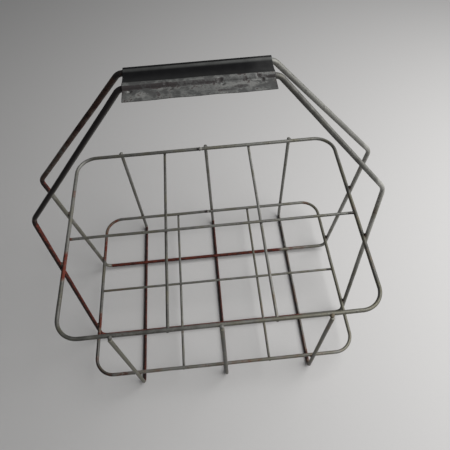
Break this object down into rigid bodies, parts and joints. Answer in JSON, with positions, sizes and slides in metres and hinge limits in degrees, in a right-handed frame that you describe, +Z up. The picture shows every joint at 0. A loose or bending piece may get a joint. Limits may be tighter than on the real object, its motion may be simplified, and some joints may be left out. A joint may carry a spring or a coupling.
{
  "type": "wire bottle carrier",
  "caption": "Welded wire carrier with bottle cells between two rounded rings, U-shaped runners underneath and two leaning wire bails that meet in a sheet-metal hand grip.",
  "frame": {"origin": "on the floor under the middle of the carrier, level with the undersides of the runners", "axes": "+X along the long side and the grip, +Y to the rear, away from the grip's lip, +Z up"},
  "size_m": [0.2192, 0.1606, 0.2446],
  "materials": {
    "grip_sheet": "worn, stained sheet steel",
    "bail_wire": "aged zinc with dark patina and red rust",
    "ring_wire": "aged zinc, dull grey, light rust",
    "runner_wire": "aged zinc worn through to brown rust",
    "divider_wire": "aged zinc, dull grey, rusty weld spots"
  },
  "bodies": {
    "root": {"grip": "grip_sheet", "front_bail": "bail_wire", "rear_bail": "bail_wire", "upper_ring": "ring_wire", "lower_ring": "ring_wire", "left_runner": "runner_wire", "middle_runner": "runner_wire", "right_runner": "runner_wire", "upper_long_divider": "divider_wire", "upper_left_divider": "divider_wire", "upper_right_divider": "divider_wire", "lower_long_divider": "divider_wire", "lower_left_divider": "divider_wire", "lower_right_divider": "divider_wire"}
  },
  "joints": []
}
